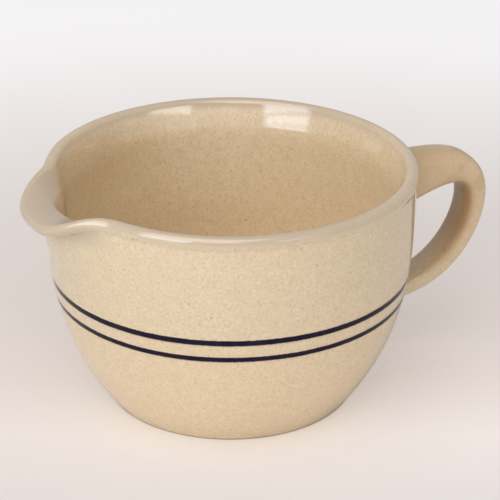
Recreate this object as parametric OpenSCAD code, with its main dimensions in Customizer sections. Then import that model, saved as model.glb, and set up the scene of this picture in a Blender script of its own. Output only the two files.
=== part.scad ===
// Stoneware batter bowl: a jiggered bowl with a pulled spout, a pulled handle that is
// stuck on with slip, and two painted bands. Z is up, the foot stands on z = 0, the
// bowl turns about the z axis, the handle points along +X and the spout a few degrees off -X.

/* [Bowl] */
// Diameter over the rim, away from the spout
rim_d = 191; // [170:1:210]
// Height from the table to the top of the rim
bowl_h = 125; // [115:1:140]
// Diameter of the foot where it meets the wall
foot_d = 127; // [110:1:140]
// Thickness of the clay at the rim
rim_t = 7; // [5:0.5:9]
// Thickness of the wall below the rim
wall_t = 10; // [8:0.5:12]
// Height over which the wall thins towards the rim
taper_h = 15; // [10:1:20]
// Height of the inside floor above the table
floor_z = 8; // [7:0.5:12]

/* [Rim] */
// How far the rolled rim stands proud of the wall
bead_out = 1; // [0.3:0.1:1.2]
// Height of the rolled rim
bead_h = 8; // [7:0.5:10]
// Height of the rounding on top of the rim
rim_round = 3.6; // [3:0.2:4.4]

/* [Foot] */
// Rounding of the foot's outer edge
foot_round = 1.2; // [0.6:0.2:2]

/* [Spout] */
// Chord of the rim over which the spout is pulled
spout_w = 95; // [80:1:105]
// Length of wall, down from the rim, that is folded outwards
spout_fold = 17; // [15:0.5:20]
// Length of wall that takes up the bend
spout_bend = 9; // [8:0.5:11]
// Angle of the lip away from upright, in the middle of the spout
spout_tilt = 94; // [60:1:95]
// How far the wall below the lip is stroked outwards
spout_channel = 4.5; // [0:0.5:6]
// Height from the upper band to where the wall starts to run out to the lip
channel_gap = 5.4; // [3:0.2:12]
// Angle by which the wall leans in on both sides of the spout, where fingers held it
spout_pinch = 3.5; // [0:0.5:6]
// Angle between the middle of the spout and the line that the handle points back along
spout_turn = 4; // [0:0.5:8]
// Share of its thickness that the clay loses at the lip
spout_thin_share = 0.1; // [0:0.02:0.4]

/* [Bands] */
// Height of the middle of the upper band
band_z = 69; // [66:0.5:72]
// Distance between the middles of the two bands
band_pitch = 9.6; // [8:0.2:12]
// Width of the upper band
band_w = 3.2; // [2:0.2:4]
// Width of the lower band
low_band_w = 2.9; // [2:0.2:4]
// Depth to which the colour goes into the wall
band_t = 0.4; // [0.3:0.05:0.8]

/* [Handle] */
// Drop from the top of the rim to the middle of the upper root
handle_top_drop = 24; // [19:1:28]
// Height of the middle of the lower root
handle_low_z = 38; // [34:1:44]
// How far the handle's path is drawn out from the wall
handle_reach = 52; // [44:1:60]
// Width of the handle across the fingers
handle_w = 21; // [17:0.5:25]
// Thickness of the handle halfway down
handle_t = 12; // [9:0.5:15]
// Thickness of the slip between a root and the wall
slip_t = 0.8; // [0.5:0.1:1.5]
// How far the slip is squeezed out round a root
slip_out = 0.8; // [0.4:0.1:1.5]

/* [Hidden] */

glaze_color = "#dcc9a3";
cobalt_color = "#27264f";
slip_color = "#cdb68e";

// Cutting tools run past what they cut by this much
overrun = 1;

rim_r = rim_d / 2;
foot_r = foot_d / 2;
wall_r = rim_r - bead_out;
wall_h = bowl_h - bead_h;
bore_r = wall_r - wall_t;
rim_z = bowl_h - rim_round;
mid_r = rim_r - rim_t / 2;
low_band_z = band_z - band_pitch;

// The inside is a superellipse: steep walls and a flat floor with a soft corner
floor_power = 5;
side_power = 2.5;
// The outside narrows to the foot with the cube of the height that is left
belly_power = 3;

// Where the outside of the wall is at height z, without bands and foot rounding
function rise(x) = x * x * x * (10 - 15 * x + 6 * x * x);
function between(x) = min(1, max(0, x));
function bead(z) = bead_out * rise(between((z - wall_h) / (bead_h - rim_round)));
function belly_r(z) = wall_r - (wall_r - foot_r) * pow(between(1 - z / wall_h), belly_power);
function outside_r(z) = belly_r(z) + bead(z);

// Where the inside of the wall is at height z
inside_h = rim_z - floor_z;
taper_power = 1.5;
function taper(z) =
    (rim_r - rim_t - bore_r) * pow(1 - between((rim_z - z) / taper_h), taper_power);
function inside_r(z) =
    (bore_r + taper(z)) * pow(1 - pow((rim_z - z) / inside_h, side_power), 1 / floor_power);

// Spout: how much of the full fold is left at an angle from the middle of the spout, and
// how much of the pinch there is, which is most where the fold ends
spout_half = asin(spout_w / rim_d);
spout_flat_share = 0.07;
pinch_share = 0.6;
pinch_start = spout_half * (1 - pinch_share);
pinch_end = spout_half * (1 + pinch_share);
function spout_share(a) =
    rise(between((spout_half - abs(a)) / (spout_half * (1 - spout_flat_share))));
function pinch_at(a) =
    pow(sin(180 * between((abs(a) - pinch_start) / (pinch_end - pinch_start))), 2);

// Fold of the wall: s is the length of wall above the start of the fold, tilt the full angle
least_tilt = 0.01;
bend_start_z = bowl_h - spout_fold;
function lip_angle(s, tilt) = tilt * between(s / spout_bend);
function lip_out(s, tilt) =
    abs(tilt) < least_tilt || s <= 0 ? 0 :
    spout_bend * 180 / (PI * tilt) * (1 - cos(lip_angle(s, tilt)))
        + max(0, s - spout_bend) * sin(tilt);
function lip_up(s, tilt) =
    abs(tilt) < least_tilt || s <= 0 ? max(0, s) :
    spout_bend * 180 / (PI * tilt) * sin(lip_angle(s, tilt))
        + max(0, s - spout_bend) * cos(tilt);

// Channel below the lip: how far the wall at height z is stroked outwards in the middle
channel_start_z = band_z + band_w / 2 + channel_gap;
function channel(z) =
    spout_channel * rise(between((z - channel_start_z) / (bend_start_z - channel_start_z)));

// A point of the upright wall, [radius, height], carried to its place on the spout at angle a
function folded(p, a) =
    let (s = p[1] - bend_start_z,
         share = spout_share(a),
         tilt = spout_tilt * share - spout_pinch * pinch_at(a),
         lean = lip_angle(s, tilt),
         thin = 1 - spout_thin_share * share * between(s / spout_bend),
         n = (p[0] - mid_r) * thin,
         run = channel(p[1]) * share * share)
    s <= 0 ? [p[0] + run, p[1]] : [mid_r + run + lip_out(s, tilt) + n * cos(lean),
                                   bend_start_z + lip_up(s, tilt) - n * sin(lean)];

// Heights of the rings in the part of the wall that the spout's fold takes in
fold_steps = 6;
lip_steps = 2;
rim_steps = 8;
fold_zs = concat(
    [for (i = [0:fold_steps]) bend_start_z + spout_bend * i / fold_steps],
    [for (i = [1:lip_steps])
        bend_start_z + spout_bend + (spout_fold - spout_bend - rim_round) * i / lip_steps]);

// Outside of the wall from the foot to the spout's fold, with a groove for each band
function groove(z, w) = [
    [outside_r(z - w / 2), z - w / 2],
    [outside_r(z - w / 2) - band_t, z - w / 2],
    [outside_r(z + w / 2) - band_t, z + w / 2],
    [outside_r(z + w / 2), z + w / 2]];
function wall_run(z0, z1, n) = [for (i = [1:n - 1])
    let (z = z0 + (z1 - z0) * i / n) [outside_r(z), z]];
foot_steps = 2;
low_steps = 6;
high_steps = 8;
foot_edge = [for (i = [0:foot_steps])
    let (a = 90 * i / foot_steps)
    [outside_r(foot_round) - foot_round * (1 - sin(a)), foot_round * (1 - cos(a))]];
wall_outline = concat(
    foot_edge,
    wall_run(foot_round, low_band_z - low_band_w / 2, low_steps),
    groove(low_band_z, low_band_w),
    groove(band_z, band_w),
    wall_run(band_z + band_w / 2, bend_start_z, high_steps),
    [for (z = fold_zs) [outside_r(z), z]]);

// Over the rim, and down the inside to the edge of the flat floor
rim_outline = [for (i = [1:rim_steps - 1])
    let (a = 180 * i / rim_steps)
    [mid_r + (rim_t / 2) * cos(a), rim_z + rim_round * sin(a)]];
inside_steps = 16;
inside_start = asin(pow((rim_z - bend_start_z) / inside_h, side_power / 2));
inside_outline = concat(
    [for (i = [len(fold_zs) - 1:-1:0]) [inside_r(fold_zs[i]), fold_zs[i]]],
    [for (i = [1:inside_steps - 1])
        let (a = inside_start + (90 - inside_start) * i / inside_steps)
        [bore_r * pow(cos(a), 2 / floor_power),
         i == inside_steps - 1 ? floor_z : rim_z - inside_h * pow(sin(a), 2 / side_power)]]);
// The skin starts a little below the table and is cut off flat there
foot_outline = [[foot_edge[0][0], -overrun]];

// Plain solid of the bowl's outer shape, grown outwards, that trims what sits on the wall
module outer_shape(grow) {
    wall = concat(
        foot_edge,
        wall_run(foot_round, low_band_z - low_band_w / 2, low_steps),
        [for (z = [low_band_z - low_band_w / 2, low_band_z + low_band_w / 2]) [outside_r(z), z]],
        [for (z = [band_z - band_w / 2, band_z + band_w / 2]) [outside_r(z), z]],
        wall_run(band_z + band_w / 2, bend_start_z, high_steps),
        [for (z = fold_zs) [outside_r(z), z]]);
    rotate_extrude($fn = 180)
        polygon(concat(
            [[0, 0]],
            [for (p = wall) [p[0] + grow, p[1]]],
            [[rim_r + grow, bowl_h], [0, bowl_h]]));
}

// The bowl is a skin over one outline, set upright at each of these angles from the
// middle of the spout; they lie closer together where the wall is folded
spout_steps = 34;
round_steps = 54;
turns = concat(
    [for (i = [0:spout_steps - 1]) pinch_end * (2 * i / spout_steps - 1)],
    [for (i = [0:round_steps - 1]) pinch_end + (360 - 2 * pinch_end) * i / round_steps]);

module bowl_body() {
    outline = concat(foot_outline, wall_outline, rim_outline, inside_outline);
    n = len(outline);
    m = len(turns);
    points = [for (t = turns)
        let (a = t > 180 ? t - 360 : t, place = a + spout_turn)
        for (p = outline)
            let (q = folded(p, a)) [-q[0] * cos(place), -q[0] * sin(place), q[1]]];
    sides = [for (i = [0:m - 1])
        for (j = [0:n - 2])
            let (here = i * n + j, next = (i + 1) % m * n + j)
            for (f = [[here, here + 1, next + 1], [here, next + 1, next]]) f];
    foot_face = [for (i = [0:m - 1]) i * n];
    floor_face = [for (i = [m - 1:-1:0]) i * n + n - 1];
    color(glaze_color)
    difference() {
        polyhedron(points, concat(sides, [foot_face, floor_face]));
        translate([0, 0, -2 * overrun])
            cylinder(h = 2 * overrun, r = foot_r + overrun, $fn = 180);
    }
}

module band(z, w) {
    color(cobalt_color)
    rotate_extrude($fn = 180)
        polygon(groove(z, w));
}

module upper_band() {
    band(band_z, band_w);
}

module lower_band() {
    band(low_band_z, low_band_w);
}

// The handle's path is a Bezier curve from inside the wall at the upper root to inside
// the wall at the lower root. Reach shares are of handle_reach, height shares of the
// distance between the roots.
handle_top_z = bowl_h - handle_top_drop;
root_sink = rim_t - overrun;
reach_shares = [0.40, 1.17, 1.00, 0.77];
height_shares = [1.00, 1.41, 0.60, -0.03];
root_span = handle_top_z - handle_low_z;
path = concat(
    [[outside_r(handle_top_z) - root_sink, handle_top_z]],
    [for (i = [0:3]) [wall_r + handle_reach * reach_shares[i],
                      handle_low_z + root_span * height_shares[i]]],
    [[outside_r(handle_low_z) - root_sink, handle_low_z]]);
// Thickness along the path, as shares of handle_t: swollen at the top, slender at the foot
thickness_shares = [2.87, 0.45, 1.25, 0.67];

function bezier(ps, t) = len(ps) == 1 ? ps[0] :
    bezier([for (i = [0:len(ps) - 2]) ps[i] * (1 - t) + ps[i + 1] * t], t);
function slope(ps, t) =
    bezier([for (i = [0:len(ps) - 2]) ps[i + 1] - ps[i]], t);

// One cross section of the handle at t: a rounded oblong, square to the path
section_sides = 24;
section_power = 3;
function side_of(x) = x < 0 ? -1 : 1;
function round_share(x) = side_of(x) * pow(abs(x), 2 / section_power);
function section(t, grow) =
    let (c = bezier(path, t),
         d = slope(path, t),
         out = [d[1], -d[0]] / norm(d),
         half_t = handle_t / 2 * bezier(thickness_shares, t) + grow,
         half_w = handle_w / 2 + grow)
    [for (i = [0:section_sides - 1])
        let (a = 360 * i / section_sides,
             x = half_t * round_share(cos(a)),
             y = half_w * round_share(sin(a)))
        [c[0] + out[0] * x, y, c[1] + out[1] * x]];

// Skin over the sections from t0 to t1
module strap(t0, t1, steps, grow) {
    n = section_sides;
    points = [for (i = [0:steps]) each section(t0 + (t1 - t0) * i / steps, grow)];
    sides = [for (i = [0:steps - 1])
        for (j = [0:n - 1])
            let (k = (j + 1) % n, m = i * n)
            for (f = [[m + j, m + n + k, m + k], [m + j, m + n + j, m + n + k]]) f];
    first = [for (j = [0:n - 1]) j];
    last = [for (j = [n - 1:-1:0]) steps * n + j];
    polyhedron(points, concat(sides, [first, last]));
}

handle_steps = 44;
module handle() {
    color(glaze_color)
    difference() {
        strap(0, 1, handle_steps, 0);
        outer_shape(slip_t);
    }
}

// A thin layer of slip between the wall and a root, squeezed out a little all round
root_share = 0.16;
root_steps = 8;
module slip_joint(t0, t1) {
    color(slip_color)
    intersection() {
        strap(t0, t1, root_steps, slip_out);
        difference() {
            outer_shape(slip_t);
            outer_shape(0);
        }
    }
}

module upper_slip_joint() {
    slip_joint(0, root_share);
}

module lower_slip_joint() {
    slip_joint(1 - root_share, 1);
}

bowl_body();
upper_band();
lower_band();
handle();
upper_slip_joint();
lower_slip_joint();
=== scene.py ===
# %% [markdown]
# # A stoneware batter bowl
# The bowl is one piece of fired clay. Its body is turned, its spout is pulled out of the
# soft rim by hand, its handle is stuck on with slip, and two blue bands are painted
# round it before it is glazed. The speckled glaze covers all of it but the foot. This
# script dresses the imported CAD model, which gives the bowl's size and the place of its
# bands.

# %% Load the CAD model
import math
import bpy
import bmesh
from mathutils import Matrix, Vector


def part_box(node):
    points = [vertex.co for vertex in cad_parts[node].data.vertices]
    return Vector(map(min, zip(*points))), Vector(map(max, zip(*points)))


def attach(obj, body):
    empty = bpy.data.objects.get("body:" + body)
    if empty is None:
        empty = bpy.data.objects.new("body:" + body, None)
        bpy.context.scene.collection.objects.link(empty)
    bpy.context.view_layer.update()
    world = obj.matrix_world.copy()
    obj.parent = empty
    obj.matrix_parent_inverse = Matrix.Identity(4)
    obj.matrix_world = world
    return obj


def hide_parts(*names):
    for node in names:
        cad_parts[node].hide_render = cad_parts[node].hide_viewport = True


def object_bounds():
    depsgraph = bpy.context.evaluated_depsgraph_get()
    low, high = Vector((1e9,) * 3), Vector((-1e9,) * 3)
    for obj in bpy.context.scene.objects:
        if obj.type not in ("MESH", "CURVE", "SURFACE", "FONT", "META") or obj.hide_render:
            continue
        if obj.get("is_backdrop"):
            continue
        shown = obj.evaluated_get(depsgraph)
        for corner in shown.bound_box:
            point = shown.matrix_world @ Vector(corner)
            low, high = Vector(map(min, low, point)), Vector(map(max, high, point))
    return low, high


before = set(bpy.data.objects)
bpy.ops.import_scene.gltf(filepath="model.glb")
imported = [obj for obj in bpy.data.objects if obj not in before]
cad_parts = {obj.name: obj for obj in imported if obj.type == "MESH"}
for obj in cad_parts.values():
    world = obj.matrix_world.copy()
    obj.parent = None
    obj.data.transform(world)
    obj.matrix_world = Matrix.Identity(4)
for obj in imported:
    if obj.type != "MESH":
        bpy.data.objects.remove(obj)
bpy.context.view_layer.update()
mm = 0.001
for name in sorted(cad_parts):
    low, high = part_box(name)
    print(name, "is", [round((high[i] - low[i]) / mm, 1) for i in range(3)], "mm")

# %% [markdown]
# ## Sizes
# A potter gives a bowl by a few sizes: the rim, the height, the foot, and how thick the
# wall is. The rim and the height are read from the CAD model, so the two always agree.
# The rest are the sizes that shape the wall between them.

# %% Sizes of the bowl
body_low, body_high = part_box("bowl_body")
rim_r = (body_high[1] - body_low[1]) / 2
bowl_h = body_high[2]
foot_r = 63.5 * mm
foot_round = 1.2 * mm  # radius of the foot's edge
rim_t = 7 * mm
rim_round = 3.6 * mm  # height of the rim's round top
bead_out = 1.0 * mm  # how far the rim stands out from the wall
bead_h = 8 * mm  # how far down from the top it does
wall_t = 10 * mm
taper_h = 15 * mm  # how far below the rim the wall thins towards it
taper_power = 1.5
floor_z = 8 * mm
floor_power, side_power = 2.5, 5  # of the superellipse inside

wall_r = rim_r - bead_out
wall_h = bowl_h - bead_h
rim_z = bowl_h - rim_round
mid_r = rim_r - rim_t / 2
bore_r = wall_r - wall_t
print("rim", round(2 * rim_r / mm, 1), "mm across,", round(bowl_h / mm, 1), "mm high")


def eased(x):
    """0 below 0, 1 above 1, and a soft start and end between them."""
    x = min(1.0, max(0.0, x))
    return x * x * x * (10 - 15 * x + 6 * x * x)


def outside_r(z):
    """Radius of the outer wall at height z: it narrows with the cube of the depth."""
    left = min(1.0, max(0.0, 1 - z / wall_h))
    bead = bead_out * eased((z - wall_h) / (bead_h - rim_round))
    return wall_r - (wall_r - foot_r) * left**3 + bead


def inside_r(z, share):
    """Radius of the inner wall at height z: share narrows it to the floor."""
    thinned = max(0.0, 1 - (rim_z - z) / taper_h) ** taper_power
    return (bore_r + (rim_r - rim_t - bore_r) * thinned) * share


# %% [markdown]
# ## The outline of the wall
# A bowl turned on a wheel is one outline swept round an axis, so the outline is all that
# has to be drawn. It starts under the foot, runs up the outside, rolls over the rim and
# comes down the inside. The inside is a superellipse, which gives a steep wall and a
# flat floor with a soft corner, as a jigger's template does. The points lie close
# together where the outline bends, so that the glaze shows no facets.

# %% Draw the outline
wall_steps, bead_steps, inner_steps = 90, 15, 79
inner_start = 3  # the steps that the rim's round top takes the place of
crowding = 1.15  # above 1 the points crowd towards the rim


def steps(start, end, count):
    """Evenly spaced values after start, up to end."""
    return [start + (end - start) * i / count for i in range(1, count + 1)]


def arc(cr, cz, rr, rz, start, end, count):
    """Points on part of an ellipse about (cr, cz), both ends included."""
    turns = [math.radians(start + (end - start) * i / (count - 1)) for i in range(count)]
    return [(cr + rr * math.cos(t), cz + rz * math.sin(t)) for t in turns]


def body_outline():
    under = [(foot_r * share, 0.0) for share in (0.0, 0.3, 0.6, 0.9)]
    edge_r = outside_r(foot_round)
    edge = arc(edge_r - foot_round, foot_round, foot_round, foot_round, -90, 0, 9)
    wall = [(outside_r(z), z) for z in steps(foot_round, wall_h, wall_steps)]
    bead = [(outside_r(z), z) for z in steps(wall_h, rim_z, bead_steps)]
    top = arc(mid_r, rim_z, rim_t / 2, rim_round, 0, 160, 27)[1:]
    inner = []
    depth = rim_z - floor_z
    for i in range(inner_start, inner_steps):
        t = math.radians(90 * (i / inner_steps) ** crowding)
        z = rim_z - depth * math.sin(t) ** (2 / floor_power)
        inner.append((inside_r(z, math.cos(t) ** (2 / side_power)), z))
    last = inner[-1][0]
    floor = [(last * share, floor_z) for share in (0.66, 0.33, 0.0)]
    return under + edge + wall + bead + top + inner + floor


outline = body_outline()
print("the outline has", len(outline), "points")

# %% [markdown]
# ## Helpers for node trees
# Geometry Nodes and shader nodes are both trees of nodes joined by links. Written out
# in full they are long, so one helper adds a node and joins its inputs in one line, and
# a few more take up what comes back in many trees.

# %% Helpers for node trees
def add(tree, kind, *values, **settings):
    """Adds a node, sets it up, and fills or links its inputs in order. None skips one."""
    node = tree.nodes.new(kind)
    for key, value in settings.items():
        setattr(node, key, value)
    for socket, value in zip(node.inputs, values):
        if value is None:
            continue
        if isinstance(value, bpy.types.NodeSocket):
            tree.links.new(value, socket)
        else:
            socket.default_value = value
    return node


def sums(tree):
    """The arithmetic of one tree. Sums and products take any number of values."""
    def do(operation, *values):
        while operation in ("ADD", "MULTIPLY") and len(values) > 2:
            values = (do(operation, *values[:2]),) + values[2:]
        return add(tree, "ShaderNodeMath", *values, operation=operation).outputs[0]
    return do


def split(tree, vector):
    return add(tree, "ShaderNodeSeparateXYZ", vector).outputs


def joined(tree, x, y, z):
    return add(tree, "ShaderNodeCombineXYZ", x, y, z).outputs[0]


def spread(tree, value, low, high, to_low=0.0, to_high=1.0, way="LINEAR"):
    """Turns low to high into to_low to to_high, and goes no further at either end."""
    node = add(tree, "ShaderNodeMapRange", value, low, high, to_low, to_high)
    node.interpolation_type = way
    node.clamp = True
    return node.outputs[0]


def along(do, x, y, way):
    """How far (x, y) lies in a level direction."""
    return do("ADD", do("MULTIPLY", x, way[0]), do("MULTIPLY", y, way[1]))


def from_axis(do, x, y):
    return do("SQRT", do("ADD", do("MULTIPLY", x, x), do("MULTIPLY", y, y)))


# %% [markdown]
# ## Helpers for pieces
# Each turned or swept piece is made the same way: a line of points goes in, a tree of
# Geometry Nodes makes the shape, and the result is settled into a plain mesh, because
# the export and the frame want finished meshes.

# %% Helpers for pieces
def placed(name, data):
    """An object with its data, in the scene."""
    obj = bpy.data.objects.new(name, data)
    bpy.context.scene.collection.objects.link(obj)
    return obj


def line_object(name, points, closed=False):
    """An object of points joined by edges, as a start for a tree."""
    mesh = bpy.data.meshes.new(name)
    edges = [(i, i + 1) for i in range(len(points) - 1)]
    if closed:
        edges.append((len(points) - 1, 0))
    mesh.from_pydata(points, edges, [])
    return placed(name, mesh)


def new_tree(name, sizes):
    """A tree with a mesh, named sizes and a finish going in and a mesh coming out."""
    tree = bpy.data.node_groups.new(name, "GeometryNodeTree")
    tree.is_modifier = True
    face = tree.interface
    face.new_socket("Geometry", in_out="INPUT", socket_type="NodeSocketGeometry")
    for label, value in sizes.items():
        kind = "NodeSocketInt" if isinstance(value, int) else "NodeSocketFloat"
        face.new_socket(label, in_out="INPUT", socket_type=kind).default_value = value
    face.new_socket("Finish", in_out="INPUT", socket_type="NodeSocketMaterial")
    face.new_socket("Geometry", in_out="OUTPUT", socket_type="NodeSocketGeometry")
    return tree, add(tree, "NodeGroupInput").outputs


def end_tree(tree, mesh, finish):
    """All trees end the same way, so that a plain mesh with its finish comes out."""
    smooth = add(tree, "GeometryNodeSetShadeSmooth", mesh).outputs[0]
    real = add(tree, "GeometryNodeRealizeInstances", smooth).outputs[0]
    node = add(tree, "GeometryNodeSetMaterial", real)
    tree.links.new(finish, node.inputs["Material"])
    add(tree, "NodeGroupOutput", node.outputs[0])


def put_through(obj, tree, finish, sizes):
    """Puts a tree on an object as a modifier and sets its inputs by their identifiers."""
    mod = obj.modifiers.new(tree.name, "NODES")
    mod.node_group = tree
    values = {"Finish": finish, **sizes}
    for item in tree.interface.items_tree:
        if item.in_out == "INPUT" and item.name in values:
            mod[item.identifier] = values[item.name]


def settle(obj):
    """Turns the result of an object's modifiers into its own plain mesh."""
    graph = bpy.context.evaluated_depsgraph_get()
    made = bpy.data.meshes.new_from_object(obj.evaluated_get(graph), depsgraph=graph)
    made.name = obj.name
    obj.modifiers.clear()
    obj.data = made


def outward(obj):
    """Merges doubled points and turns all faces of a closed piece outwards."""
    work = bmesh.new()
    work.from_mesh(obj.data)
    bmesh.ops.remove_doubles(work, verts=work.verts, dist=1e-7)
    bmesh.ops.recalc_face_normals(work, faces=work.faces)
    if work.calc_volume(signed=True) < 0:
        bmesh.ops.reverse_faces(work, faces=work.faces)
    open_edges = sum(1 for e in work.edges if not e.is_manifold)
    print(obj.name, len(work.faces), "faces,", open_edges, "open edges,",
          round(work.calc_volume(signed=True) * 1e6, 1), "ml of clay")
    work.to_mesh(obj.data)
    work.free()


# %% [markdown]
# ## Helpers for finishes
# A finish is a tree of shader nodes. Every one reads Object coordinates, so its pattern
# stays fixed to the clay, and it is mixed from noises and colours alone.

# %% Helpers for finishes
def shader(name):
    finish = bpy.data.materials.new(name)
    finish.use_nodes = True
    tree = finish.node_tree
    tree.nodes.clear()
    place = add(tree, "ShaderNodeTexCoord").outputs["Object"]
    return finish, tree, place


def noise(tree, place, scale, detail, rough=0.5):
    node = add(tree, "ShaderNodeTexNoise", place)
    node.inputs["Scale"].default_value = scale
    node.inputs["Detail"].default_value = detail
    node.inputs["Roughness"].default_value = rough
    return node.outputs["Fac"]


def blend_colour(tree, share, first, second):
    node = add(tree, "ShaderNodeMix", data_type="RGBA")
    colour_inputs = [s for s in node.inputs if s.type == "RGBA"]
    for socket, value in zip([node.inputs[0]] + colour_inputs, (share, first, second)):
        if isinstance(value, bpy.types.NodeSocket):
            tree.links.new(value, socket)
        else:
            socket.default_value = value
    return [s for s in node.outputs if s.type == "RGBA"][0]


def below_rim(depth):
    """The height that lies so many millimetres below the top of the rim."""
    return bowl_h - depth * mm


# %% [markdown]
# ## The glaze's colour
# Seen from a step away the glaze is a warm cream. From close by it is a fine mottle of
# pale and tan grains, because iron in the clay bleeds through it, with a rare dark speck
# where a grain of iron has melted. Outside, the cream is greyer high up and warmer near
# the foot. Inside, painted light makes the wall paler high up about its middle, and
# painted shade makes it tanner high up beside the spout. So the colour is built up in
# layers: the soft zones first, then a drift a few centimetres wide, the mottle under a
# millimetre wide, faint clouds, and a sparse cell pattern for the specks.

# %% Zones of the glaze
cream = (0.735, 0.590, 0.388, 1)
grey_cream = (0.645, 0.545, 0.375, 1)
warm_cream = (0.80, 0.625, 0.385, 1)
painted_light_inside = (0.805, 0.665, 0.465, 1)
painted_shade_inside = (0.665, 0.495, 0.305, 1)
painted_light_middle = 20 * mm  # the x about which the inside is palest


def zoned_cream(tree, place):
    """Cream with its zones, painted light and shade inside among them. The outside is where
    a face looks away from the axis.
    """
    do = sums(tree)
    x, y, height = split(tree, place)
    normal = add(tree, "ShaderNodeNewGeometry").outputs["Normal"]
    face_x, face_y, _ = split(tree, normal)
    outside = do("GREATER_THAN", along(do, x, y, (face_x, face_y)), 0.0)
    inside = do("SUBTRACT", 1.0, outside)
    from_middle = do("ABSOLUTE", do("SUBTRACT", x, painted_light_middle))
    zones = (
        (grey_cream, outside, spread(tree, height, 40 * mm, 90 * mm, 0.0, 0.5)),
        (warm_cream, outside, spread(tree, height, 30 * mm, 70 * mm, 0.45, 0.0)),
        # Painted light: the middle of the inside wall is made paler, high up.
        (painted_light_inside, inside, spread(tree, height, 60 * mm, 85 * mm),
         spread(tree, from_middle, 15 * mm, 65 * mm, 1.0, 0.0)),
        # Painted shade: high up on the spout's side the inside wall is made tanner.
        (painted_shade_inside, inside, spread(tree, height, below_rim(9), below_rim(4), 1.0, 0.0),
         spread(tree, height, 82 * mm, 100 * mm), spread(tree, x, 0.0, -42 * mm)),
    )
    base = cream
    for colour, *shares in zones:
        base = blend_colour(tree, do("MULTIPLY", *shares), base, colour)
    return base


print("the inside is palest at x =", round(painted_light_middle / mm, 1), "mm")

# %% Grain of the glaze
pale_grain = (0.81, 0.70, 0.50, 1)
tan_grain = (0.62, 0.46, 0.28, 1)
iron_speck = (0.16, 0.10, 0.06, 1)
# Each layer of grain: the noise's scale, detail and roughness, where in the noise it
# starts and is full, its greatest share, and its colour.
grain_layers = (
    (22, 2, 0.5, 0.70, 0.30, 0.08, tan_grain),
    (720, 4, 0.7, 0.52, 0.68, 0.70, pale_grain),
    (720, 4, 0.7, 0.47, 0.33, 0.85, tan_grain),
    (190, 3, 0.6, 0.35, 0.65, 0.30, tan_grain),
)
# Each kind of speck: the scale of its cells, its radius in a cell, how rare it is, and
# its greatest share.
speck_kinds = ((170, 0.08, 0.70, 0.55), (430, 0.22, 0.60, 0.22))
speck_core, speck_edge = 0.6, 1.3  # shares of its radius between which a speck fades
speck_onset = 0.06  # how far past its limit a cell's number gives a full speck


def glaze_colour(tree, place, base=cream):
    """The cream glaze's colour, for every piece that it covers."""
    do = sums(tree)
    for scale, detail, rough, start, full, most, colour in grain_layers:
        grain = noise(tree, place, scale, detail, rough)
        base = blend_colour(tree, spread(tree, grain, start, full, 0.0, most), base, colour)
    for scale, radius, least, most in speck_kinds:
        cells = add(tree, "ShaderNodeTexVoronoi", place)
        cells.inputs["Scale"].default_value = scale
        off = cells.outputs["Distance"]
        near = spread(tree, off, radius * speck_core, radius * speck_edge, most, 0.0)
        rare = spread(tree, cells.outputs["Color"], least, least + speck_onset)
        base = blend_colour(tree, do("MULTIPLY", near, rare), base, iron_speck)
    return base


print("glaze:", len(grain_layers), "layers of grain,", len(speck_kinds), "kinds of speck")

# %% [markdown]
# ## The glaze's surface
# Fired glaze is glass, so it is smooth and shines, but never quite flat. A slow waver, a
# fine orange peel and the faint rings that the fingers left on the wheel bend its
# highlights. All three are far too shallow for the mesh, so they are a bump.

# %% Bump and gloss
waver_scale, peel_scale, ring_scale = 95, 420, 260
waver_share, peel_share, ring_share = 0.35, 0.10, 0.35
ring_stretch = 0.02  # nearly no change round the bowl, so that only rings are left
bump_strength, bump_depth = 0.35, 0.25 * mm
glass_ior = 1.52


def glaze_bump(tree, place):
    do = sums(tree)
    x, y, z = split(tree, place)
    short_x, short_y = do("MULTIPLY", x, ring_stretch), do("MULTIPLY", y, ring_stretch)
    flattened = joined(tree, short_x, short_y, z)
    height = do(
        "ADD",
        do("MULTIPLY", noise(tree, place, waver_scale, 2), waver_share),
        do("MULTIPLY", noise(tree, place, peel_scale, 2), peel_share),
        do("MULTIPLY", noise(tree, flattened, ring_scale, 2), ring_share),
    )
    bump = add(tree, "ShaderNodeBump")
    bump.inputs["Strength"].default_value = bump_strength
    bump.inputs["Distance"].default_value = bump_depth
    tree.links.new(height, bump.inputs["Height"])
    return bump.outputs[0]


def glossy(tree, colour, roughness, normal, shine=1.0):
    surface = add(tree, "ShaderNodeBsdfPrincipled")
    tree.links.new(colour, surface.inputs["Base Color"])
    tree.links.new(roughness, surface.inputs["Roughness"])
    tree.links.new(normal, surface.inputs["Normal"])
    surface.inputs["IOR"].default_value = glass_ior
    surface.inputs["Specular IOR Level"].default_value = shine
    add(tree, "ShaderNodeOutputMaterial", surface.outputs[0])


print("the bump is at most", bump_depth / mm, "mm deep")

# %% [markdown]
# ## The glaze on the bowl
# While it melts, glaze draws back from edges. So the tan clay shows through on the crest
# of the rim and on the spout, whose edge is all crest. On the crest the tan is also painted
# shade: it is strongest at the front and the back along the camera's line and weaker at
# the sides. Inside the spout, painted shade darkens it further.
# The foot is wiped clean before firing, or the bowl would stick to the kiln's shelf. Its
# bare rim of clay is about a millimetre high and has a ragged edge.

# %% Glaze the bowl
crest_tan_and_shade = (0.53, 0.43, 0.31, 1)
bare_clay = (0.36, 0.24, 0.14, 1)
turn_of_camera = math.radians(22.5)
to_camera = (-math.sin(turn_of_camera), -math.cos(turn_of_camera))
to_right = (math.cos(turn_of_camera), -math.sin(turn_of_camera))
ragged_by = 0.6 * mm
bare_rough = 0.6


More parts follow.
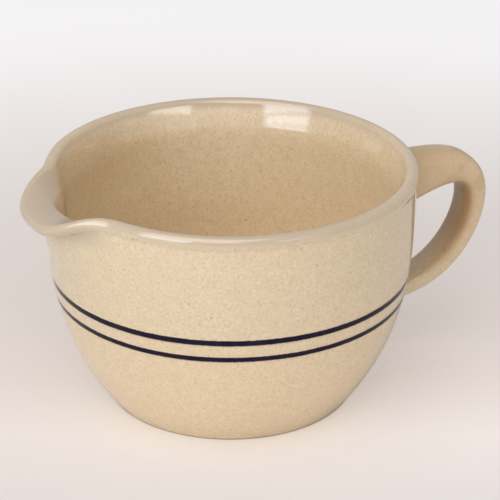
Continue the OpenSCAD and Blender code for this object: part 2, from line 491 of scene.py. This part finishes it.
def glaze_bowl():
    finish, tree, place = shader("cream_glaze")
    do = sums(tree)
    x, y, height = split(tree, place)
    front = do("ABSOLUTE", along(do, x, y, to_camera))
    far_out = from_axis(do, x, y)
    # Thin glaze on the crest, with painted shade that makes it strongest at the front and
    # back along the camera's line.
    crest_thin_glaze_and_shade = do("MULTIPLY", spread(tree, height, below_rim(5.5), below_rim(2.5)),
               spread(tree, front, 40 * mm, 95 * mm, 0.25, 1.0))
    lip = do("MULTIPLY", spread(tree, far_out, rim_r, rim_r + 6 * mm, 0.0, 0.85),
             spread(tree, height, below_rim(22), below_rim(13)))
    # Painted shade: the inside of the spout is darkened towards the tan.
    painted_shade_in_spout = do("MULTIPLY", spread(tree, x, -80 * mm, -92 * mm, 0.0, 0.8),
                  spread(tree, height, below_rim(20), below_rim(12)))
    # The tan's share: thin glaze on the crest and lip, with painted shade on the crest and
    # in the spout.
    thin = do("MAXIMUM", do("MAXIMUM", crest_thin_glaze_and_shade, lip), painted_shade_in_spout)
    colour = glaze_colour(tree, place, zoned_cream(tree, place))
    colour = blend_colour(tree, thin, colour, crest_tan_and_shade)

    ragged = do("ADD", height, do("MULTIPLY", noise(tree, place, 60, 2), ragged_by))
    bare = spread(tree, ragged, 1.1 * mm, 1.5 * mm, 1.0, 0.0)
    colour = blend_colour(tree, bare, colour, bare_clay)
    shine = spread(tree, noise(tree, place, 70, 2), 0.3, 0.7, 0.03, 0.07)
    rough = do("ADD", shine, do("MULTIPLY", bare, bare_rough))
    glossy(tree, colour, rough, glaze_bump(tree, place))
    print("glaze made:", len(tree.nodes), "nodes")
    return finish


glaze = glaze_bowl()

# %% [markdown]
# ## The glaze on the handle
# On the upper part of the handle the glaze is duller than on the wall and streaked with
# tan and olive. Painted shade adds more olive next to the bowl up there, and paints the
# side that faces the bowl brown. Lower down it is the same shining cream as the wall. So
# the handle has a finish of its own, which starts from the same cream and adds its
# colours by height and by the way that a face looks.

# %% Glaze the handle
handle_tan = (0.61, 0.43, 0.262, 1)
handle_olive = (0.40, 0.31, 0.16, 1)
handle_inner_shade = (0.38, 0.235, 0.115, 1)


def glaze_handle():
    finish, tree, place = shader("cream_glaze_on_handle")
    do = sums(tree)
    x, _, height = split(tree, place)
    high_up = spread(tree, height, 45 * mm, 114 * mm)
    streak = spread(tree, noise(tree, place, 75, 3, 0.6), 0.35, 0.65, 0.4, 1.0)
    colour = glaze_colour(tree, place)
    colour = blend_colour(tree, do("MULTIPLY", high_up, streak), colour, handle_tan)

    facing = split(tree, add(tree, "ShaderNodeNewGeometry").outputs["Normal"])["X"]
    # Painted shade: the side that faces the bowl is darkened with brown, most high up.
    inner = do("MULTIPLY", spread(tree, facing, 0.0, -0.8),
               spread(tree, height, 44 * mm, 70 * mm, 0.10, 0.78))
    colour = blend_colour(tree, inner, colour, handle_inner_shade)

    mottle = spread(tree, noise(tree, place, 110, 3, 0.6), 0.46, 0.66, 0.0, 0.5)
    # Painted shade: olive next to the bowl at the top of the handle, joined with the real
    # olive mottle.
    painted_shade_by_bowl = spread(tree, x, 100 * mm, 128 * mm, 0.50, 0.0)
    olive_mottle_and_shade = do("MULTIPLY", do("MAXIMUM", mottle, painted_shade_by_bowl), high_up)
    colour = blend_colour(tree, olive_mottle_and_shade, colour, handle_olive)
    rough = spread(tree, height, 60 * mm, 100 * mm, 0.05, 0.36)
    glossy(tree, colour, rough, glaze_bump(tree, place), shine=0.5)
    print("handle's glaze made:", len(tree.nodes), "nodes")
    return finish


handle_glaze = glaze_handle()

# %% [markdown]
# ## The blue of the bands
# Cobalt is brushed on the raw glaze while the bowl turns. It sinks in when it is fired,
# so a band has no edge that can be felt, and its colour thins out over a fraction of a
# millimetre. Each band is therefore a strip a little wider than the colour. The strip
# takes the glaze at its edges and the cobalt in the middle, and a slow noise makes the
# line waver as a brush does.

# %% Make the cobalt
cobalt = (0.006, 0.003, 0.022, 1)
waver_by = 0.5 * mm
edge_in, edge_out = 0.25 * mm, 0.2 * mm  # how far each edge fades inwards and outwards
band_shine = 0.1


def band_finish(name, middle, width):
    finish, tree, place = shader(name)
    do = sums(tree)
    height = split(tree, place)["Z"]
    waver = do("MULTIPLY", do("SUBTRACT", noise(tree, place, 45, 3), 0.5), waver_by)
    grain = do("MULTIPLY", do("SUBTRACT", noise(tree, place, 900, 2), 0.5), waver_by)
    off = do("ABSOLUTE", do("SUBTRACT", do("ADD", height, do("ADD", waver, grain)), middle))
    painted = spread(tree, off, width / 2 - edge_in, width / 2 + edge_out, 1.0, 0.0)
    thick = spread(tree, noise(tree, place, 160, 3), 0.3, 0.75, 1.0, 0.985)
    under = glaze_colour(tree, place, zoned_cream(tree, place))
    colour = blend_colour(tree, do("MULTIPLY", painted, thick), under, cobalt)
    rough = spread(tree, noise(tree, place, 70, 2), 0.3, 0.7, 0.05, 0.10)
    glossy(tree, colour, rough, glaze_bump(tree, place), band_shine)
    return finish


upper_low, upper_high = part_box("upper_band")
lower_low, lower_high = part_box("lower_band")
bands = {
    "upper_band": ((upper_low[2] + upper_high[2]) / 2, upper_high[2] - upper_low[2]),
    "lower_band": ((lower_low[2] + lower_high[2]) / 2, lower_high[2] - lower_low[2]),
}
for name, (middle, width) in bands.items():
    print(name, "is", round(width / mm, 2), "mm wide at", round(middle / mm, 2), "mm")

# %% [markdown]
# ## The wheel
# The outline becomes a bowl by going round a circle. Curve to Mesh does that: its curve
# is a circle and its profile is the outline. The points that fall on the axis are merged,
# which closes the poles at the floor and under the foot.

# %% Build the wheel's tree
circle_r = 10 * mm
merge_within = 1e-6
wheel_sizes = {"Steps round": 360, "Circle radius": circle_r}


def wheel_tree():
    tree, given = new_tree("turned_on_a_wheel", wheel_sizes)
    profile = add(tree, "GeometryNodeMeshToCurve", given["Geometry"]).outputs[0]
    circle = add(tree, "GeometryNodeCurvePrimitiveCircle", mode="RADIUS")
    tree.links.new(given["Steps round"], circle.inputs["Resolution"])
    tree.links.new(given["Circle radius"], circle.inputs["Radius"])
    swept = add(tree, "GeometryNodeCurveToMesh", circle.outputs["Curve"], profile)
    merged = add(tree, "GeometryNodeMergeByDistance", swept.outputs[0])
    merged.inputs["Distance"].default_value = merge_within
    end_tree(tree, merged.outputs[0], given["Finish"])
    return tree


wheel = wheel_tree()
print("the wheel's tree has", len(wheel.nodes), "nodes")


def turned(name, section, finish, closed=False, steps_round=360):
    """Turns a section of (radius, height) round the axis. The tree turns its y down."""
    points = [(r - circle_r, -z, 0.0) for r, z in section]
    obj = line_object(name, points, closed)
    put_through(obj, wheel, finish, {**wheel_sizes, "Steps round": steps_round})
    return obj


# %% [markdown]
# ## The spout
# A potter makes the spout with wet fingers: two hold the rim and one strokes the clay
# between them outwards. Below the lip that leaves a shallow channel. The wall keeps its
# length, so it doesn't stretch. It bends along a short arc and goes on straight, tilted
# most in the middle and less towards the fingers.
# Beside it the wall leans in a little, where the fingers held it, and the whole spout
# came out a few degrees off the line of the handle. The same rule is written here as a
# second tree, which moves each point of the turned bowl: how far round it lies gives its
# share of the tilt, and how high it lies gives how far along the bend it is.

# %% Build the spout's tree
spout_w = 95 * mm
spout_sizes = {
    "Rim height": bowl_h,
    "Rim middle": mid_r,
    "Fold length": 17 * mm,
    "Bend length": 9 * mm,
    "Lip tilt": math.radians(94),
    "Channel start": 76 * mm,
    "Channel depth": 4.5 * mm,
    "Half turn": math.asin(spout_w / (2 * rim_r)),
    "Flat share": 0.07,
    "Thin share": 0.1,
    "Pinch angle": math.radians(3.5),
    "Pinch share": 0.6,
    "Turn of the spout": math.radians(4),
}
least_tilt = 0.0005  # below it the bend counts as straight, and twice it is added


def spout_tree():
    tree, given = new_tree("pulled_spout", spout_sizes)
    do = sums(tree)
    x, y, z = split(tree, add(tree, "GeometryNodeInputPosition").outputs[0])
    out = from_axis(do, x, y)
    turn = do("ARCTAN2", do("MULTIPLY", y, -1.0), do("MULTIPLY", x, -1.0))

    # The share of the tilt: 1 in the middle of the spout and 0 beside it.
    half = given["Half turn"]
    from_spout = do("SUBTRACT", turn, given["Turn of the spout"])
    off = do("ABSOLUTE", do("WRAP", from_spout, math.pi, -math.pi))
    flat = do("MULTIPLY", half, given["Flat share"])
    share = spread(tree, off, half, flat, way="SMOOTHERSTEP")

    # The pinch: a hump on either side of the spout, where the fingers held the rim.
    pinch_half = do("MULTIPLY", half, given["Pinch share"])
    into = do("ADD", do("SUBTRACT", off, half), pinch_half)
    into = do("DIVIDE", into, do("MULTIPLY", pinch_half, 2.0))
    into = do("MINIMUM", do("MAXIMUM", into, 0.0), 1.0)
    hump = do("SINE", do("MULTIPLY", into, math.pi))
    pinch = do("MULTIPLY", hump, hump, given["Pinch angle"])

    # How far up the bend a point lies, and how far past it.
    start = do("SUBTRACT", given["Rim height"], given["Fold length"])
    up_wall = do("MAXIMUM", do("SUBTRACT", z, start), 0.0)
    bend = given["Bend length"]
    in_bend = do("MINIMUM", do("DIVIDE", up_wall, bend), 1.0)
    past = do("MAXIMUM", do("SUBTRACT", up_wall, bend), 0.0)

    # The tilt is kept off 0, because the radius of the bend is its length divided by it.
    tilt = do("SUBTRACT", do("MULTIPLY", given["Lip tilt"], share), pinch)
    upright = do("LESS_THAN", do("ABSOLUTE", tilt), least_tilt)
    tilt = do("ADD", tilt, do("MULTIPLY", upright, 2 * least_tilt))
    lean = do("MULTIPLY", tilt, in_bend)
    radius = do("DIVIDE", bend, tilt)

    # Where the middle of the wall goes: outwards and upwards from the start of the bend.
    half_lean = do("SINE", do("MULTIPLY", lean, 0.5))
    away = do("MULTIPLY", radius, 2.0, do("MULTIPLY", half_lean, half_lean))
    away = do("ADD", away, do("MULTIPLY", past, do("SINE", tilt)))
    up = do("MULTIPLY", radius, do("SINE", lean))
    up = do("ADD", up, do("MULTIPLY", past, do("COSINE", tilt)))

    # The wall's thickness turns with it and thins a little.
    thin = do("SUBTRACT", 1.0, do("MULTIPLY", given["Thin share"], share, in_bend))
    across = do("MULTIPLY", do("SUBTRACT", out, given["Rim middle"]), thin)
    across_out = do("MULTIPLY", across, do("COSINE", lean))
    new_out = do("ADD", given["Rim middle"], away, across_out)
    new_z = do("SUBTRACT", do("ADD", start, up), do("MULTIPLY", across, do("SINE", lean)))

    # Below the bend the wall stays, apart from the channel that is stroked out of it.
    folds = do("GREATER_THAN", z, start)
    stays = do("SUBTRACT", 1.0, folds)
    run = spread(tree, z, given["Channel start"], start, way="SMOOTHERSTEP")
    stroked = do("MULTIPLY", run, given["Channel depth"], do("MULTIPLY", share, share))
    kept_out = do("ADD", do("MULTIPLY", folds, new_out), do("MULTIPLY", stays, out))
    new_out = do("ADD", stroked, kept_out)
    new_z = do("ADD", do("MULTIPLY", folds, new_z), do("MULTIPLY", stays, z))
    new_x = do("MULTIPLY", new_out, do("COSINE", turn), -1.0)
    new_y = do("MULTIPLY", new_out, do("SINE", turn), -1.0)

    chosen = add(tree, "FunctionNodeCompare", z, given["Channel start"],
                 data_type="FLOAT", operation="GREATER_THAN").outputs[0]
    shaped = add(tree, "GeometryNodeSetPosition", given["Geometry"], chosen,
                 joined(tree, new_x, new_y, new_z))
    end_tree(tree, shaped.outputs[0], given["Finish"])
    return tree


spout = spout_tree()
print("the spout's tree has", len(spout.nodes), "nodes")

# %% [markdown]
# ## The body
# First the wheel, then the spout, as in the workshop. The two modifiers are then made
# into one plain mesh.

# %% Make the body
body = turned("batter_bowl_body", outline, glaze)
put_through(body, spout, glaze, spout_sizes)
settle(body)
outward(body)
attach(body, "root")
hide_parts("bowl_body")

# %% [markdown]
# ## The bands
# Each band is a strip that follows the outer wall, with its back sunk into the clay. It
# stands 0.04 mm proud, far less than can be seen, so that it and the wall don't flicker
# where they would lie in one place.

# %% Make the bands
band_margin = 0.6 * mm  # strip beyond the paint, above and below
band_proud = 0.04 * mm
band_sunk = 0.4 * mm
band_steps = 8


def band_section(middle, width):
    low, high = middle - width / 2 - band_margin, middle + width / 2 + band_margin
    heights = [low] + steps(low, high, band_steps)
    face = [(outside_r(z) + band_proud, z) for z in heights]
    back = [(outside_r(z) - band_sunk, z) for z in (high, low)]
    return face + back


for name, (middle, width) in bands.items():
    finish = band_finish(name + "_cobalt", middle, width)
    section = band_section(middle, width)
    band = turned("painted_" + name, section, finish, closed=True, steps_round=480)
    settle(band)
    outward(band)
    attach(band, "root")
    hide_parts(name)

# %% [markdown]
# ## The handle's path
# The handle is pulled from a lump of clay, so it is thick where it meets the bowl at the
# top and gets thinner towards its lower end. Clay that is pulled and bent by hand has no
# corners, which is what a Bezier curve gives. The thickness along it is a Bezier curve of
# four shares in the same way.

# %% The handle's path
handle_t = 12 * mm
handle_w = 21 * mm
top_z, low_z = bowl_h - 24 * mm, 38 * mm
reach = 52 * mm
root_sink = 6 * mm
path_steps = 140
# Points that pull the path out and up: shares of the reach and of the height spanned.
pulls = ((0.40, 1.00), (1.17, 1.41), (1.00, 0.60), (0.77, -0.03))
thickness_shares = [2.87, 0.45, 1.25, 0.67]

path_points = [(outside_r(top_z) - root_sink, top_z)]
for out_share, height_share in pulls:
    path_points.append((wall_r + reach * out_share, low_z + (top_z - low_z) * height_share))
path_points.append((outside_r(low_z) - root_sink, low_z))


def bezier(points, t):
    """A point on the Bezier curve of any number of points, or a value of numbers."""
    row = [p if isinstance(p, tuple) else (p,) for p in points]
    while len(row) > 1:
        pairs = zip(row, row[1:])
        row = [tuple(a * (1 - t) + b * t for a, b in zip(p, q)) for p, q in pairs]
    return row[0]


def half_thickness(t):
    return handle_t / 2 * bezier(thickness_shares, t)[0]


path = [bezier(path_points, i / path_steps) for i in range(path_steps + 1)]
print("the handle reaches", round(max(p[0] for p in path) / mm, 1), "mm from the axis")

# %% [markdown]
# ## The handle
# The section of a pulled handle is a rounded oblong. The tree sweeps a ring of points
# along the path and then sets each one by the rule of a superellipse, with the thickness
# that the path carries there.

# %% Build the handle's tree
section_power = 3.0
strap_sizes = {"Width": handle_w, "Section power": section_power, "Steps round": 96}


def strap_tree():
    tree, given = new_tree("pulled_handle", strap_sizes)
    do = sums(tree)
    line = add(tree, "GeometryNodeMeshToCurve", given["Geometry"]).outputs[0]
    kept = add(tree, "GeometryNodeCaptureAttribute", line)
    place = add(tree, "GeometryNodeInputPosition")
    tangent = add(tree, "GeometryNodeInputTangent")
    half = add(tree, "GeometryNodeInputNamedAttribute", "half_thickness", data_type="FLOAT")
    captures = (
        ("VECTOR", "Place", place),
        ("VECTOR", "Direction", tangent),
        ("FLOAT", "Half", half),
    )
    for kind, label, _ in captures:
        kept.capture_items.new(kind, label)
    for (_, _, source), socket in zip(captures, list(kept.inputs)[1:]):
        tree.links.new(source.outputs[0], socket)

    ring = add(tree, "GeometryNodeCurvePrimitiveCircle", mode="RADIUS")
    tree.links.new(given["Steps round"], ring.inputs["Resolution"])
    ring.inputs["Radius"].default_value = 1 * mm
    round_it = add(tree, "GeometryNodeCaptureAttribute", ring.outputs["Curve"])
    round_it.capture_items.new("FLOAT", "Turn")
    factor = add(tree, "GeometryNodeSplineParameter").outputs["Factor"]
    tree.links.new(factor, round_it.inputs[1])
    swept = add(tree, "GeometryNodeCurveToMesh", kept.outputs[0], round_it.outputs[0])
    swept.inputs["Fill Caps"].default_value = True

    turn = do("MULTIPLY", round_it.outputs[1], 2 * math.pi)
    power = do("DIVIDE", 2.0, given["Section power"])

    def squared(value):
        size = do("POWER", do("ABSOLUTE", value), power)
        return do("MULTIPLY", size, do("SIGN", value))

    thick = do("MULTIPLY", kept.outputs[3], squared(do("COSINE", turn)))
    wide = do("MULTIPLY", do("MULTIPLY", given["Width"], 0.5), squared(do("SINE", turn)))
    dx, _, dz = split(tree, kept.outputs[2])
    px, _, pz = split(tree, kept.outputs[1])
    x = do("ADD", px, do("MULTIPLY", dz, thick))
    z = do("SUBTRACT", pz, do("MULTIPLY", dx, thick))
    moved = joined(tree, x, wide, z)
    shaped = add(tree, "GeometryNodeSetPosition", swept.outputs[0], None, moved)
    end_tree(tree, shaped.outputs[0], given["Finish"])
    return tree


strap = strap_tree()
print("the handle's tree has", len(strap.nodes), "nodes")

# %% Make the handle
handle = line_object("pulled_handle", [(p[0], 0.0, p[1]) for p in path])
halves = handle.data.attributes.new("half_thickness", "FLOAT", "POINT")
for i in range(len(path)):
    halves.data[i].value = half_thickness(i / path_steps)
put_through(handle, strap, handle_glaze, strap_sizes)
settle(handle)
outward(handle)
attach(handle, "root")
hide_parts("handle")

# %% [markdown]
# ## The slip at the handle's roots
# Each root is scored, wetted with slip and pressed on, and the slip that squeezes out is
# wiped into a small hollow fillet. So each root gets a ring of clay that starts on the
# handle, curves into the corner and ends flat on the wall. Along each line of the handle
# the script finds where the line goes into the wall, and lays a curve there that is
# tangent to both.

# %% Where the handle meets the wall
tangent_step = 1e-4
halvings = 40
# Each root's span on the path, from inside the wall to outside it.
upper_span, lower_span = (0.0, 0.16), (1.0, 0.86)


def handle_line(turn, t):
    """A point on the handle's skin: turn is round the section, t is along the path."""
    c = bezier(path_points, t)
    a = bezier(path_points, max(0.0, t - tangent_step))
    b = bezier(path_points, min(1.0, t + tangent_step))
    d = Vector((b[0] - a[0], 0, b[1] - a[1])).normalized()

    def squared(v):
        return math.copysign(abs(v) ** (2 / section_power), v)

    thick = half_thickness(t) * squared(math.cos(turn))
    wide = handle_w / 2 * squared(math.sin(turn))
    return Vector((c[0] + d.z * thick, wide, c[1] - d.x * thick))


def depth(p):
    """How far a point is outside the wall."""
    return math.hypot(p.x, p.y) - outside_r(p.z)


def root(turn, inner_t, outer_t):
    """Where the handle's line goes into the wall, found by halving."""
    for _ in range(halvings):
        middle = (inner_t + outer_t) / 2
        if depth(handle_line(turn, middle)) < 0:
            inner_t = middle
        else:
            outer_t = middle
    return (inner_t + outer_t) / 2


def on_wall(p):
    """The point of the wall at the height and direction of p."""
    k = outside_r(p.z) / math.hypot(p.x, p.y)
    return Vector((p.x * k, p.y * k, p.z))


for span in (upper_span, lower_span):
    print("the path leaves the wall at", round(root(0.0, *span), 3), "of its length")

# %% Make the slip
slip_w = 1.6 * mm  # how far the fillet runs up the handle and out on the wall
slip_count, slip_steps = 144, 9
slip_sunk = 0.5 * mm
corner_sunk = 0.6 * mm
walk_step = 0.0005


def sunk(p, by):
    """The point p, moved into the wall."""
    return Vector((p.x - by, p.y, p.z))


def slip_row(turn, t, corner, centre, sign):
    """One section of the fillet: a curve from the handle to the wall, and its sunk back."""
    far = t
    while (handle_line(turn, far) - corner).length < slip_w:
        far += sign * walk_step
    start = handle_line(turn, far)
    sideways = corner - centre
    sideways.x = 0
    end = on_wall(corner + sideways.normalized() * slip_w)
    row = []
    for k in range(slip_steps + 1):
        u = k / slip_steps
        row.append(start * (1 - u) ** 2 + corner * (2 * u * (1 - u)) + end * u**2)
    sunk_start = start + (centre - start).normalized() * slip_sunk
    return row + [sunk(end, slip_sunk), sunk(corner, corner_sunk), sunk_start]


def slip_ring(name, node, inner_t, outer_t):
    """A closed ring of slip about the root that lies between two places on the path."""
    centre = Vector((0, 0, 0))
    roots = []
    for i in range(slip_count):
        turn = 2 * math.pi * i / slip_count
        t = root(turn, inner_t, outer_t)
        roots.append((turn, t, handle_line(turn, t)))
        centre += roots[-1][2] / slip_count
    sign = 1 if outer_t > inner_t else -1
    rows = [slip_row(*found, centre, sign) for found in roots]
    per = len(rows[0])
    faces = []
    for i in range(slip_count):
        j = (i + 1) % slip_count
        for k in range(per):
            n = (k + 1) % per
            faces.append((i * per + k, i * per + n, j * per + n, j * per + k))
    mesh = bpy.data.meshes.new(name)
    mesh.from_pydata([tuple(p) for row in rows for p in row], [], faces)
    mesh.materials.append(glaze)
    mesh.polygons.foreach_set("use_smooth", [True] * len(faces))
    obj = placed(name, mesh)
    outward(obj)
    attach(obj, "root")
    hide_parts(node)


slip_ring("upper_slip_fillet", "upper_slip_joint", *upper_span)
slip_ring("lower_slip_fillet", "lower_slip_joint", *lower_span)

# %% [markdown]
# ## The floor
# The photograph was taken on a pale sheet that fades into the backdrop, with only a faint,
# slightly pink shadow round the bowl and a warm glow at its foot. A lit plane alone would
# be too grey and its shadow too dark. So the camera sees the paper mixed with a glow of
# its own, and that glow is painted light and shade. Painted shade makes it dimmest a
# little behind the bowl and dimmer again before it, and painted light lifts it at the
# right, where the lamps' shadow falls. Its tint is pinker and darker beside the bowl, a
# painted shade, paler far away, and warm where the cream wall throws light on the sheet,
# a painted glow of bounced light. All other rays see plain paper. The ranges here are in
# metres from the bowl's axis.

# %% Make the floor
floor_half = 3.0
paper_tones = (0.90, 0.86, 0.835, 1), (0.92, 0.88, 0.855, 1)
painted_shade_tint = (0.87, 0.775, 0.725, 1)
before_tint = (0.98, 0.93, 0.93, 1)
far_tint = (1.02, 1.01, 1.03, 1)
painted_bounce_tint = (1.08, 0.92, 0.76, 1)
dimmest_behind = 0.15  # the darkest band of the sheet lies so far behind the axis


def paper_finish():
    finish, tree, place = shader("pale_paper")
    do = sums(tree)
    flat = add(tree, "ShaderNodeBsdfPrincipled")
    tone = spread(tree, noise(tree, place, 3, 2), 0.3, 0.7)
    tree.links.new(blend_colour(tree, tone, *paper_tones), flat.inputs["Base Color"])
    rough = spread(tree, noise(tree, place, 50, 2), 0.3, 0.7, 0.85, 0.95)
    tree.links.new(rough, flat.inputs["Roughness"])
    flat.inputs["Specular IOR Level"].default_value = 0.1

    x, y, _ = split(tree, place)
    front, beside = along(do, x, y, to_camera), along(do, x, y, to_right)
    far_out = add(tree, "ShaderNodeVectorMath", place, operation="LENGTH").outputs["Value"]
    # Tints of the glow: painted shade's pink beside the bowl, paler far away, painted
    # bounced light at the foot.
    tint = blend_colour(tree, spread(tree, front, 0.0, 0.18), painted_shade_tint, before_tint)
    tint = blend_colour(tree, spread(tree, far_out, 0.16, 0.55), tint, far_tint)
    painted_bounce_at_foot = do("MULTIPLY", spread(tree, far_out, 0.064, 0.095, 0.75, 0.0),
                 spread(tree, front, 0.0, 0.05))
    tint = blend_colour(tree, painted_bounce_at_foot, tint, painted_bounce_tint)

    # Painted shade dims the glow behind and before the bowl; painted light lifts it where
    # the lamps' shadow falls.
    from_band = do("ABSOLUTE", do("ADD", front, dimmest_behind))
    painted_shade_behind = spread(tree, from_band, 0.0, 0.34, 0.82, 0.98, way="SMOOTHSTEP")
    painted_shade_before = spread(tree, front, 0.06, 0.12, 1.0, 0.80)
    near_bowl = spread(tree, do("ABSOLUTE", front), 0.06, 0.2, 1.0, 0.0)
    painted_light_in_shadow = do("MULTIPLY", spread(tree, beside, 0.0, 0.12, 0.0, 0.15), near_bowl)
    strength = do("MULTIPLY", painted_shade_behind, painted_shade_before, do("ADD", 0.98, painted_light_in_shadow))
    glow = add(tree, "ShaderNodeEmission", tint, strength)

    seen = add(tree, "ShaderNodeLightPath").outputs["Is Camera Ray"]
    share = do("MULTIPLY", spread(tree, far_out, 0.12, 0.60, 0.52, 0.8), seen)
    both = add(tree, "ShaderNodeMixShader", share, flat.outputs[0], glow.outputs[0])
    add(tree, "ShaderNodeOutputMaterial", both.outputs[0])
    return finish


floor_mesh = bpy.data.meshes.new("studio_floor")
corners = ((-1, -1), (1, -1), (1, 1), (-1, 1))
floor_points = [(x * floor_half, y * floor_half, 0) for x, y in corners]
floor_mesh.from_pydata(floor_points, [], [(0, 1, 2, 3)])
floor_mesh.materials.append(paper_finish())
studio_floor = placed("studio_floor", floor_mesh)
studio_floor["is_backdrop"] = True
print("the floor is", 2 * floor_half, "m wide")

# %% [markdown]
# ## The camera
# The camera stands where the photograph's did, as far as a fit to the rim can tell: 22.5
# degrees off the bowl's side view and 25.5 degrees above the table, with a long lens. The
# shift puts the bowl where it is in the picture without turning the camera.

# %% Set up the camera
scene = bpy.context.scene
aim = Vector((0, 0, 57 * mm))
aim_px = (230.3, 283.3)  # where the aim lies in the photograph
photo_px = 500
distance, elevation = 1.140, math.radians(25.55)
back_x, back_y = (way * math.cos(elevation) for way in to_camera)
back = Vector((back_x, back_y, math.sin(elevation)))

camera_data = bpy.data.cameras.new("camera")
camera_data.sensor_width = 36
camera_data.lens = 158
camera_data.shift_x = (photo_px / 2 - aim_px[0]) / photo_px
camera_data.shift_y = -(photo_px / 2 - aim_px[1]) / photo_px
camera_data.clip_start, camera_data.clip_end = 0.05, 50
camera = placed("camera", camera_data)
camera.location = aim + back * distance
camera.rotation_mode = "QUATERNION"
camera.rotation_quaternion = (-back).to_track_quat("-Z", "Y")
scene.camera = camera
print("the camera is at", [round(v, 3) for v in camera.location])

# %% [markdown]
# ## The lamps
# Two patches of light inside the back wall give the lamps away. The wall is a hollow
# mirror, so it shows each lamp on the other side. One soft box stands to the left of the
# camera, with two slats across it, and one to the right, of which a flag hides all but a
# triangle. A low fill at the right isn't mirrored in the glaze, and a large warm box
# hangs above. Their powers were set until the wall, the rim and the inside came close to
# the photograph's colours.

# %% Set up the lamps
edge_fade = 0.12  # share of a lamp's width over which its edge fades
slat_core = 0.4  # share of a slat that is dimmed fully
flag_slope, flag_from, flag_to = 0.58, 0.58, 0.70
lamp_aim = Vector((0, 0, 60 * mm))
level = Vector((back.x, back.y, 0)).normalized()
right = Vector((-back.y, back.x, 0)).normalized()


def soft_front(data, slats, flag):
    """Fades a lamp to its edges, dims it along slats, and hides a corner with a flag."""
    data.use_nodes = True
    tree = data.node_tree
    tree.nodes.clear()
    do = sums(tree)
    u, v, _ = split(tree, add(tree, "ShaderNodeNewGeometry").outputs["Parametric"])
    glow = 1.0
    for way in (u, v):
        from_edge = do("SUBTRACT", 0.5, do("ABSOLUTE", do("SUBTRACT", way, 0.5)))
        glow = do("MULTIPLY", glow, spread(tree, from_edge, 0.0, edge_fade))
    for middle, half, dimming in slats:
        off = do("ABSOLUTE", do("SUBTRACT", v, middle))
        slat = spread(tree, off, half * slat_core, half, 1 - dimming, 1.0)
        glow = do("MULTIPLY", glow, slat)
    if flag:
        across = do("ADD", do("MULTIPLY", u, flag_slope), v)
        glow = do("MULTIPLY", glow, spread(tree, across, flag_from, flag_to, 1.0, 0.0))
    lit = add(tree, "ShaderNodeEmission", (1, 1, 1, 1), glow)
    add(tree, "ShaderNodeOutputLight", lit.outputs[0])


def soft_box(name, azimuth, height_angle, far, size, power, colour, slats=(), flag=False):
    """A soft box at an angle from the camera, positive to its right, aimed at the bowl."""
    a, e = math.radians(azimuth), math.radians(height_angle)
    sideways = level * math.cos(a) + right * math.sin(a)
    direction = sideways * math.cos(e) + Vector((0, 0, math.sin(e)))
    data = bpy.data.lights.new(name, "AREA")
    data.shape = "RECTANGLE"
    data.size, data.size_y = size
    data.energy = power
    data.color = colour
    soft_front(data, slats, flag)
    lamp = placed(name, data)
    lamp.location = lamp_aim + direction * far
    lamp.rotation_mode = "QUATERNION"
    lamp.rotation_quaternion = direction.to_track_quat("Z", "Y")
    print(name, "gives", power, "W from", far, "m")
    return lamp


# Each slat: its middle and half its width as shares of the lamp, and how much it dims.
two_slats = ((0.42, 0.05, 0.55), (0.20, 0.10, 0.35))
soft_box("left_soft_box", -40, 20, 1.5, (0.95, 0.85), 8.4, (0.87, 1.0, 1.12), two_slats)
soft_box("right_soft_box", 43, 25, 1.7, (1.02, 0.52), 4.9, (1.0, 1.0, 1.0), flag=True)
fill = soft_box("right_fill", 52, 8, 1.7, (1.6, 0.6), 4.4, (1.02, 1.0, 0.98))
fill.visible_glossy = False
soft_box("top_soft_box", -28, 58, 1.6, (1.7, 1.7), 18.0, (1.12, 0.965, 0.85))

# %% [markdown]
# ## The room
# The room beyond the lamps is dim and a little blue, and the glaze mirrors it somewhat
# brighter than it lights the clay. Where the camera looks past the floor it sees the pale
# backdrop.

# %% Set up the room
room_light = (0.93, 0.97, 1.03, 1)
backdrop = (0.86, 0.83, 0.82, 1)
lit_by_room, mirrored_room = 0.40, 0.60

world = bpy.data.worlds.new("studio")
scene.world = world
world.use_nodes = True
tree = world.node_tree
tree.nodes.clear()
rays = add(tree, "ShaderNodeLightPath").outputs
strength = spread(tree, rays["Is Glossy Ray"], 0.0, 1.0, lit_by_room, mirrored_room)
dim = add(tree, "ShaderNodeBackground", room_light, strength)
pale = add(tree, "ShaderNodeBackground", backdrop, 1.0)
seen = rays["Is Camera Ray"]
mixed = add(tree, "ShaderNodeMixShader", seen, dim.outputs[0], pale.outputs[0])
add(tree, "ShaderNodeOutputWorld", mixed.outputs[0])
scene.view_settings.view_transform = "Standard"
print("the room has", len(tree.nodes), "nodes")

# %% [markdown]
# ## The dressed box
# The last line prints the box of the dressed bowl, in millimetres.

# %% Finish
low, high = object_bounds()
print("dressed box", [round(v / mm, 1) for v in low], [round(v / mm, 1) for v in high])
